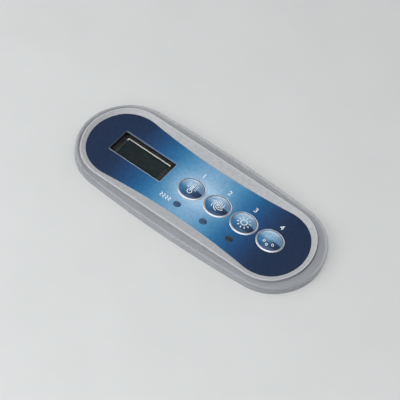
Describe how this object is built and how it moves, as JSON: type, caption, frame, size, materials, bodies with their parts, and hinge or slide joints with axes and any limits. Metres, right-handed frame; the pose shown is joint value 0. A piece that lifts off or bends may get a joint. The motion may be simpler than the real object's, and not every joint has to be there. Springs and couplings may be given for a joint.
{
  "type": "hot tub control panel",
  "caption": "Oval hot tub control panel with a small display, round push buttons and indicator lamps in a silver bezel and clear rim, mounted through a cut-out.",
  "frame": {"origin": "on the mounting plane (underside of the rim), below the middle of the facia", "axes": "+X along the panel from the display end to the button end, +Y up the face as it is read, +Z out of the face"},
  "size_m": [0.178, 0.0808, 0.0292],
  "materials": {
    "clear_rim": "clear moulded plastic, slightly milky",
    "foam": "closed-cell foam",
    "silver": "satin silver",
    "facia": "printed, satin",
    "housing": "moulded, fine grain",
    "window": "clear",
    "black": "matt black",
    "lcd_glass": "polished",
    "polariser": "dark film",
    "strip_rubber": "matt",
    "guide": "milky",
    "lamp": "gloss",
    "board": "solder resist",
    "can": "satin",
    "steel": "plated",
    "seal_rubber": "matt",
    "cap": "gloss",
    "ring": "bright",
    "boot": "matt",
    "plunger": "satin",
    "lens": "dark tint",
    "led": "tinted clear"
  },
  "bodies": {
    "panel": {"back_cover": "housing", "backlight_lamps": "lamp", "blue_facia": "facia", "board_screws": "steel", "button_ring_1": "ring", "button_ring_2": "ring", "button_ring_3": "ring", "button_ring_4": "ring", "cable_grommet": "seal_rubber", "cable_header": "black", "circuit_board": "board", "clear_rim": "clear_rim", "contact_strips": "strip_rubber", "controller_chip": "black", "cover_screws": "steel", "cover_seal": "seal_rubber", "display_holder": "black", "display_window": "window", "front_housing": "housing", "indicator_led_1": "led", "indicator_led_2": "led", "indicator_led_3": "led", "indicator_lens_1": "lens", "indicator_lens_2": "lens", "indicator_lens_3": "lens", "lcd_glass": "lcd_glass", "lcd_polariser": "polariser", "light_guide": "guide", "return_boot_1": "boot", "return_boot_2": "boot", "return_boot_3": "boot", "return_boot_4": "boot", "seat_seal": "foam", "silver_bezel": "silver", "supply_capacitor": "can", "switch_body_1": "black", "switch_body_2": "black", "switch_body_3": "black", "switch_body_4": "black"},
    "button_1": {"button_cap_1": "cap", "switch_plunger_1": "plunger"},
    "button_2": {"button_cap_2": "cap", "switch_plunger_2": "plunger"},
    "button_3": {"button_cap_3": "cap", "switch_plunger_3": "plunger"},
    "button_4": {"button_cap_4": "cap", "switch_plunger_4": "plunger"}
  },
  "joints": [
    {"name": "press_1", "type": "slide", "parent": "panel", "child": "button_1", "axis": [0, 0, -1], "range_m": [0, 0.0008], "stiffness_N_per_m": 2500, "deforming": ["return_boot_1"]},
    {"name": "press_2", "type": "slide", "parent": "panel", "child": "button_2", "axis": [0, 0, -1], "range_m": [0, 0.0008], "stiffness_N_per_m": 2500, "deforming": ["return_boot_2"]},
    {"name": "press_3", "type": "slide", "parent": "panel", "child": "button_3", "axis": [0, 0, -1], "range_m": [0, 0.0008], "stiffness_N_per_m": 2500, "deforming": ["return_boot_3"]},
    {"name": "press_4", "type": "slide", "parent": "panel", "child": "button_4", "axis": [0, 0, -1], "range_m": [0, 0.0008], "stiffness_N_per_m": 2500, "deforming": ["return_boot_4"]}
  ]
}
